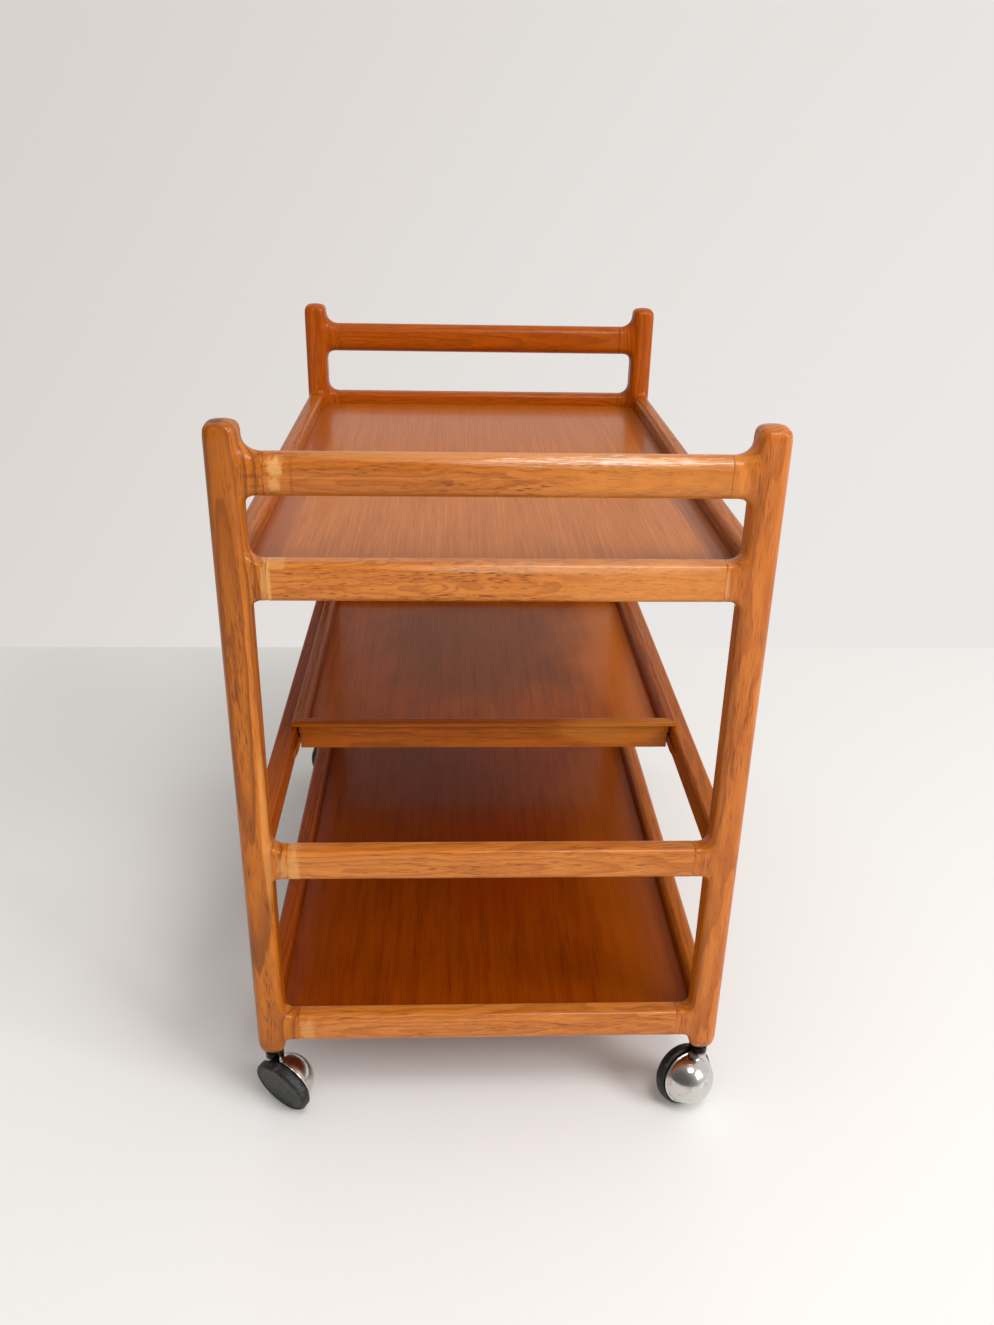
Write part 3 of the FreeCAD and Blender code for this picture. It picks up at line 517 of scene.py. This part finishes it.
def sculpt(piece, middle):
    """Pours the corners of a remeshed post, narrows its foot and its head towards its middle line,
    and relaxes it: each corner moves a share of the way to its neighbours' mean, and then a
    little more than that share back, which flattens ripples and keeps the size."""
    mesh = piece.data
    places, edges = corner_values(mesh, "co"), corner_pairs(mesh)
    pour(mesh, places, edges)
    narrow_end(places, middle, places[:, 2].min(), FOOT_LENGTH, FOOT_NARROWING)
    narrow_end(places, middle, places[:, 2].max(), HEAD_LENGTH, HEAD_NARROWING)
    for _ in range(RELAX_STEPS):
        places += RELAX_IN * pull(places, edges)
        places -= RELAX_OUT * pull(places, edges)
    mesh.vertices.foreach_set("co", places.ravel())
    mesh.polygons.foreach_set("use_smooth", np.ones(len(mesh.polygons), dtype=bool))
    mesh.update()


print("the foot is rounded over", FOOT_LENGTH / MM, "mm and the head over", HEAD_LENGTH / MM, "mm")

# %% Sculpted posts
# Beside its look, each post has its start along the log, and how far aside of the heart and above
# it the post lies. The castor's socket is bored into the middle line of its post.
POSTS = {
    "near_left": ((-300, -14, -2), {"tones": TONES["left post"], "tilt": (0, 0, 0.06),
                                    "year_mm": 7.5, "ring_share": 0.95, "sway_mm": 9,
                                    "gloss": 0.8}),
    "near_right": ((300, -27, -6), {"tones": TONES["right post"], "tilt": (0, 0, 0.03),
                                    "sway_mm": 12}),
    "far_left": ((-300, 17, 5), {"tones": TONES["far end"], "tilt": (0, 0, 0.02),
                                 "gloss": 0.5}),
    "far_right": ((300, 19, 6), {"tones": TONES["far end"], "tilt": (0, 0, -0.02),
                                 "gloss": 0.5}),
}
for corner, (in_log, look) in POSTS.items():
    node, socket = "post_" + corner, f"castor_{corner}_socket"
    piece = remeshed_copy("sculpted_" + node, nodes[node])
    sculpt(piece, middle_of(socket))
    lacquered = wood("lacquered_" + node, "Z", heart_beside(socket, "Z", *in_log),
                     patches=marks_on(node), **look)
    piece.data.materials.clear()
    piece.data.materials.append(lacquered)
    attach(piece, "frame")
    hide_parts(node)
    print(piece.name, "faces", len(piece.data.polygons))

# %% [markdown]
# ## Rails
# A rail is one board planed to a rounded section and doweled between two posts. Its shape is right
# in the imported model, so it only needs its timber. One timber for all would repeat the same knot
# of grain at the same place, so each rail comes from another part of the log: its own place there
# moves with its number in the list. The near top rail and the near handle were cut from wilder
# wood, whose streaks are half as long and whose pores are darker.

# %% From log to rail
BOARD_STEP_MM = 90
board_numbers = {name: number for number, name in enumerate(sorted(nodes))}


def cut_rail(name, grain, aside, up, **look):
    """Gives a rail its timber, a step further along the log for each number in the list."""
    start = board_numbers[name] * BOARD_STEP_MM
    heart = heart_beside(name, grain, start, aside, up)
    finish_node(name, wood("lacquered_" + name, grain, heart, patches=marks_on(name), **look))
    print(name, "starts", start, "mm along the log")


print("boards lie", BOARD_STEP_MM, "mm apart along the log")

# %% Side rails
SIDE_ASIDE_MM, SIDE_UP_MM, SIDE_TILT = 3, -16, (0.01, 0.0, 0.03)
# The left middle and bottom side rails wear the shaded set: their darker tones are painted shade, away
# from the window, and they shine less.
LIT = {"tones": TONES["side"], "gloss": 0.55}
SHADED = {"tones": TONES["dark side"], "gloss": 0.25}
SIDE_RAILS = {
    "top_side_rail_left": LIT, "top_side_rail_right": LIT,
    "middle_side_rail_left": SHADED, "middle_side_rail_right": LIT,
    "bottom_side_rail_left": SHADED, "bottom_side_rail_right": LIT,
}
for name, look in SIDE_RAILS.items():
    cut_rail(name, "Y", SIDE_ASIDE_MM, SIDE_UP_MM, tilt=SIDE_TILT, **look)

# %% End rails and handles
END_ASIDE_MM, END_SPREAD_MM, END_UP_MM, END_TILT = 4, 3, 3, (0, 0.01, -0.06)
NEAR = {"tones": TONES["near end"]}
FAR = {"tones": TONES["far end"], "pore_share": 0.4, "gloss": 0.6}
WILD = {"drawn_out": 0.5, "pore_share": 0.9}
SWAYING = {"sway_mm": 30}
END_RAILS = {
    "handle_rail_near": {"tones": TONES["handle"], **WILD}, "handle_rail_far": FAR,
    "top_end_rail_near": {**NEAR, **WILD, **SWAYING}, "top_end_rail_far": {**FAR, **SWAYING},
    "middle_end_rail_near": NEAR, "middle_end_rail_far": FAR,
    "bottom_end_rail_near": NEAR, "bottom_end_rail_far": FAR,
}
for name, look in END_RAILS.items():
    aside = END_ASIDE_MM + END_SPREAD_MM * (board_numbers[name] % 3)
    cut_rail(name, "X", aside, END_UP_MM, tilt=END_TILT, **look)

# %% [markdown]
# ## Runner strips, tray and shelves
# The tray is a mitred frame of thin boards round a veneered panel. It hangs by its flared lip on
# the middle rails, and two thin strips inside them guide it. The shelves are veneered boards in
# grooves. Their wood could be the rails' wood, but veneer is cut from the edge of a log, so its
# rings are nearly straight lines: the heart of the tree is set 700 mm away. The tray and the
# bottom shelf are smoother than the top and their lacquer shines less. Their darker tones are
# painted shade, for they lie under the top shelf.

# %% Runner strips and tray rails
# The tray's boards and its strips lie in their logs as they lie in the trolley.
RUNNER_HEART, TRAY_SIDE_HEART, TRAY_END_HEART = (0, 30, -300), (0, 230, -280), (0, 130, -280)
TRAY_GLOSS = 0.4
for side in ("left", "right"):
    finish_node("tray_runner_" + side,
                wood("lacquered_runner_" + side, "Y", RUNNER_HEART, TONES["side"]))
    finish_node("tray_side_rail_" + side,
                wood("lacquered_tray_side_" + side, "Y", TRAY_SIDE_HEART, TONES["tray side"],
                     gloss=TRAY_GLOSS))
    print("runner strip and tray rail,", side)
for end in ("near", "far"):
    name = "tray_end_rail_" + end
    finish_node(name, wood("lacquered_tray_end_" + end, "X", TRAY_END_HEART, TONES["tray end"],
                           gloss=TRAY_GLOSS, patches=marks_on(name)))
    print(name, "marks", len(marks_on(name)))

# %% Veneered panels
VENEER_ASIDE_MM = 700
VENEER = {"year_mm": 9, "ring_share": 0.22, "fibre_share": 0.5, "pore_share": 0.4,
          "stain_share": 0.6, "sway_mm": 40, "drawn_out": 1.8}
PANELS = {
    "tray_panel": (87, {"tones": TONES["tray panel"], "roughness": 0.3, "gloss": 0.4}),
    "top_shelf_panel": (90, {"tones": TONES["top panel"], "roughness": 0.36, "gloss": 0.85}),
    "bottom_shelf_panel": (86, {"tones": TONES["bottom panel"], "roughness": 0.25, "gloss": 0.3}),
}
for name, (up, look) in PANELS.items():
    heart = heart_beside(name, "Y", 0, VENEER_ASIDE_MM, up)
    finish_node(name, wood("veneered_" + name, "Y", heart, patches=marks_on(name),
                           **VENEER, **look))
    print(name, "lies", up, "mm above the heart of its tree")

# %% [markdown]
# ## Castors, dowels and screws
# A castor is a pressed steel hood with bright chrome on it, a moulded black plastic wheel and a
# rubber tyre, on a stem of blackened steel. Chrome mirrors the room, and its scuffs blur the
# mirror in spots. Moulded plastic has a faint even sheen, and rubber is dull and holds grey dust.
# Turned brass glows where the tool left it bright, and turned beech is pale and dry. Each could
# have nodes of its own, but all six are a fine grain with worn spots of about 9 mm, so that light
# breaks up on them, and one function makes them from the numbers of each. Grain finer than 1 mm
# would not show, so none is drawn finer. The necks of the hoods are painted dark: painted shade
# and a painted dark reflection, under the post's foot.

# %% Plain finishes
SPOT_MM, SPOT_RAGGEDNESS, WORN_SPAN = 9, 0.7, (0.48, 0.7)
ROUGH_SPAN, ROUGH_SHARES, SCUFF = (0.35, 0.65), (0.8, 1.25), 0.3
# Painted shade: a dark tone laid above a height, for the shade and dark reflection on a hood's neck.
NECK_SHADE, NECK_SHADE_FADE, NO_NECK_SHADE_MM = "#241d18", 3 * MM, 1000


def worn_and_shaded_tones(tree, place, spots, clean, worn, worn_share, shaded_above_mm):
    """A clean colour that turns to a worn one in spots, and to painted shade above a height."""
    height = add_node(tree, "SeparateXYZ", (place,)).outputs["Z"]
    level = shaded_above_mm * MM
    colour = layer(tree, linear(clean), worn, spots, WORN_SPAN, worn_share)
    return layer(tree, colour, NECK_SHADE, height, (level - NECK_SHADE_FADE, level + NECK_SHADE_FADE))


def plain(name, clean, worn, metallic, roughness, grain_mm, relief_mm, worn_share=0.5,
          shaded_above_mm=NO_NECK_SHADE_MM, shine=0.5):
    """A plain finish: its roughness swings with a fine grain, plus a scuff where it is worn."""
    material, tree = empty_material(name)
    place = add_node(tree, "TexCoord").outputs["Object"]
    grain = add_node(tree, "TexNoise", {"Vector": place, "Scale": 1 / (grain_mm * MM),
                                        "Detail": 3.0})
    spots = add_node(tree, "TexNoise", {"Vector": place, "Scale": 1 / (SPOT_MM * MM),
                                        "Detail": 4.0, "Roughness": SPOT_RAGGEDNESS})
    colour = worn_and_shaded_tones(tree, place, spots, clean, worn, worn_share, shaded_above_mm)
    rough = add_node(tree, "MapRange", {
        "Value": grain, "From Min": ROUGH_SPAN[0], "From Max": ROUGH_SPAN[1],
        "To Min": roughness * ROUGH_SHARES[0], "To Max": roughness * ROUGH_SHARES[1]})
    scuffed = add_node(tree, "MapRange", {"Value": spots, "From Min": WORN_SPAN[0],
                                          "From Max": WORN_SPAN[1], "To Max": SCUFF * worn_share})
    rougher = add_node(tree, "Math", (rough, scuffed), operation="ADD")
    bump = add_node(tree, "Bump", {"Strength": BUMP, "Distance": relief_mm * MM,
                                   "Height": grain})
    surface = add_node(tree, "BsdfPrincipled", {
        "Base Color": colour, "Metallic": metallic, "Roughness": rougher, "Normal": bump,
        "Specular IOR Level": shine})
    add_node(tree, "OutputMaterial", (surface,))
    return material


print("worn spots of", SPOT_MM, "mm")

# %% Chrome, steel, plastic, rubber, brass and beech
# Above this height the chrome is painted dark, as painted shade and dark reflection under the foot.
HOOD_NECK_MM = 61
chrome = plain("chromed_steel", clean="#d4d2cf", worn="#8a7f74", metallic=1.0, roughness=0.15,
               grain_mm=3, relief_mm=0.01, worn_share=0.4, shaded_above_mm=HOOD_NECK_MM)
steel = plain("blackened_steel", clean="#4c443e", worn="#2c2420", metallic=1.0, roughness=0.4,
              grain_mm=1, relief_mm=0.02)
plastic = plain("moulded_plastic", clean="#0e0f10", worn="#222326", metallic=0.0, roughness=0.3,
                grain_mm=2, relief_mm=0.02, shine=0.15)
rubber = plain("dusty_rubber", clean="#0e0e0f", worn="#5a5855", metallic=0.0, roughness=0.55,
               grain_mm=1.2, relief_mm=0.06, worn_share=0.6)
brass = plain("turned_brass", clean="#c9a050", worn="#8a6a30", metallic=1.0, roughness=0.3,
              grain_mm=1, relief_mm=0.02)
beech = plain("turned_beech", clean="#d9b98c", worn="#b99a6c", metallic=0.0, roughness=0.6,
              grain_mm=1, relief_mm=0.05)
ENDINGS = {"_hood": chrome, "_socket": steel, "_stem": steel, "_axle": steel, "_wheel": plastic,
           "_tyre": rubber, "_screws": brass, "_dowels": beech, "_keys": beech}
for name in nodes:
    for ending, material in ENDINGS.items():
        if name.endswith(ending):
            finish_node(name, material)
            print(name, "wears", material.name)

# %% [markdown]
# ## Floor, world and lamps
# The trolley stands on a white floor in front of a pale wall, beside a window on its right. Both
# could be sheets, but a wall would stand in the way of the views from behind. So the floor is a
# plain sheet that ends where the wall begins, and the wall is painted on the world. The world is
# brighter towards the window. One large lamp stands for the window, and a small one overhead draws
# the highlights along the rails.

# %% Floor
FLOOR_EDGE_Y = 0.785
FLOOR_REACH = 4.0
FLOOR_CORNERS = [(-FLOOR_REACH, -FLOOR_REACH, 0), (FLOOR_REACH, -FLOOR_REACH, 0),
                 (FLOOR_REACH, FLOOR_EDGE_Y, 0), (-FLOOR_REACH, FLOOR_EDGE_Y, 0)]
floor_mesh = bpy.data.meshes.new("floor")
floor_mesh.from_pydata(FLOOR_CORNERS, [], [(0, 1, 2, 3)])
floor = bpy.data.objects.new("floor", floor_mesh)
bpy.context.scene.collection.objects.link(floor)
floor_paint, tree = empty_material("floor_paint")
paint = add_node(tree, "BsdfPrincipled", {"Base Color": linear("#f0f0ee"), "Roughness": 0.7})
add_node(tree, "OutputMaterial", (paint,))
floor_mesh.materials.append(floor_paint)
print("floor ends", FLOOR_EDGE_Y, "m behind the middle of the trolley")

# %% A world that is brighter on one side
world = bpy.data.worlds.new("studio")
bpy.context.scene.world = world
world.use_nodes = True
tree = world.node_tree
tree.nodes.clear()
facing = add_node(tree, "TexCoord").outputs["Generated"]


def leaning(towards, span, amounts):
    """An amount that grows as the view turns towards a direction: it follows the dot product of
    the two over a span, as a smooth S."""
    turned = add_node(tree, "VectorMath", (facing, towards), operation="DOT_PRODUCT")
    return add_node(tree, "MapRange", {
        "Value": turned.outputs["Value"], "From Min": span[0], "From Max": span[1],
        "To Min": amounts[0], "To Max": amounts[1]}, interpolation_type="SMOOTHSTEP")


room_light = leaning(towards=(0.8, -0.45, 0.4), span=(-1, 1), amounts=(0.36, 0.94))
wall_tone = leaning(towards=(0.55, 0, -0.35), span=(-0.45, 0.4), amounts=(0, 1))
wall_mirrored = leaning(towards=(0.65, 0.75, -0.05), span=(-0.9, 0.35), amounts=(0.2, 1))
print("world nodes for what changes with direction:", len(tree.nodes))

# %% What lights the trolley and what the camera sees
# Rays that light the trolley meet the room. The camera and mirrors see the wall: the camera at
# full strength, and mirrors fading from the far right to the near left.
ray = add_node(tree, "LightPath").outputs
wall_light = add_node(tree, "Math", (ray["Is Camera Ray"], wall_mirrored), operation="MAXIMUM")
wall_paint = add_node(tree, "Mix", {FACTOR: wall_tone, COLOUR_UNDER: linear("#d3ccc8"),
                                    COLOUR_OVER: linear("#ece9e6")}, data_type="RGBA")
wall = add_node(tree, "Background", {"Color": wall_paint.outputs[MIXED_COLOUR],
                                     "Strength": wall_light})
room = add_node(tree, "Background", {"Color": linear("#f4f1ee"), "Strength": room_light})
seen = add_node(tree, "Math", (ray["Is Camera Ray"], ray["Is Glossy Ray"]), operation="MAXIMUM")
studio = add_node(tree, "MixShader", (seen, room, wall))
add_node(tree, "OutputWorld", (studio,))
print("world nodes:", len(tree.nodes))


# %% Lamps
def lamp(name, place, aim, side, watts):
    """A square soft lamp at a place, turned to its aim."""
    light = bpy.data.lights.new(name, "AREA")
    light.size, light.energy = side, watts
    holder = bpy.data.objects.new(name, light)
    holder.location = place
    holder.rotation_euler = (Vector(aim) - Vector(place)).to_track_quat("-Z", "Y").to_euler()
    bpy.context.scene.collection.objects.link(holder)
    print(name, watts, "W")


lamp("window", place=(3.9, -2.9, 3.2), aim=(0, 0, 0.3), side=2.2, watts=148)
lamp("ceiling", place=(0.5, -1.3, 2.6), aim=(0, -0.2, 0.4), side=0.75, watts=17)
bpy.context.scene.view_settings.view_transform = "Standard"
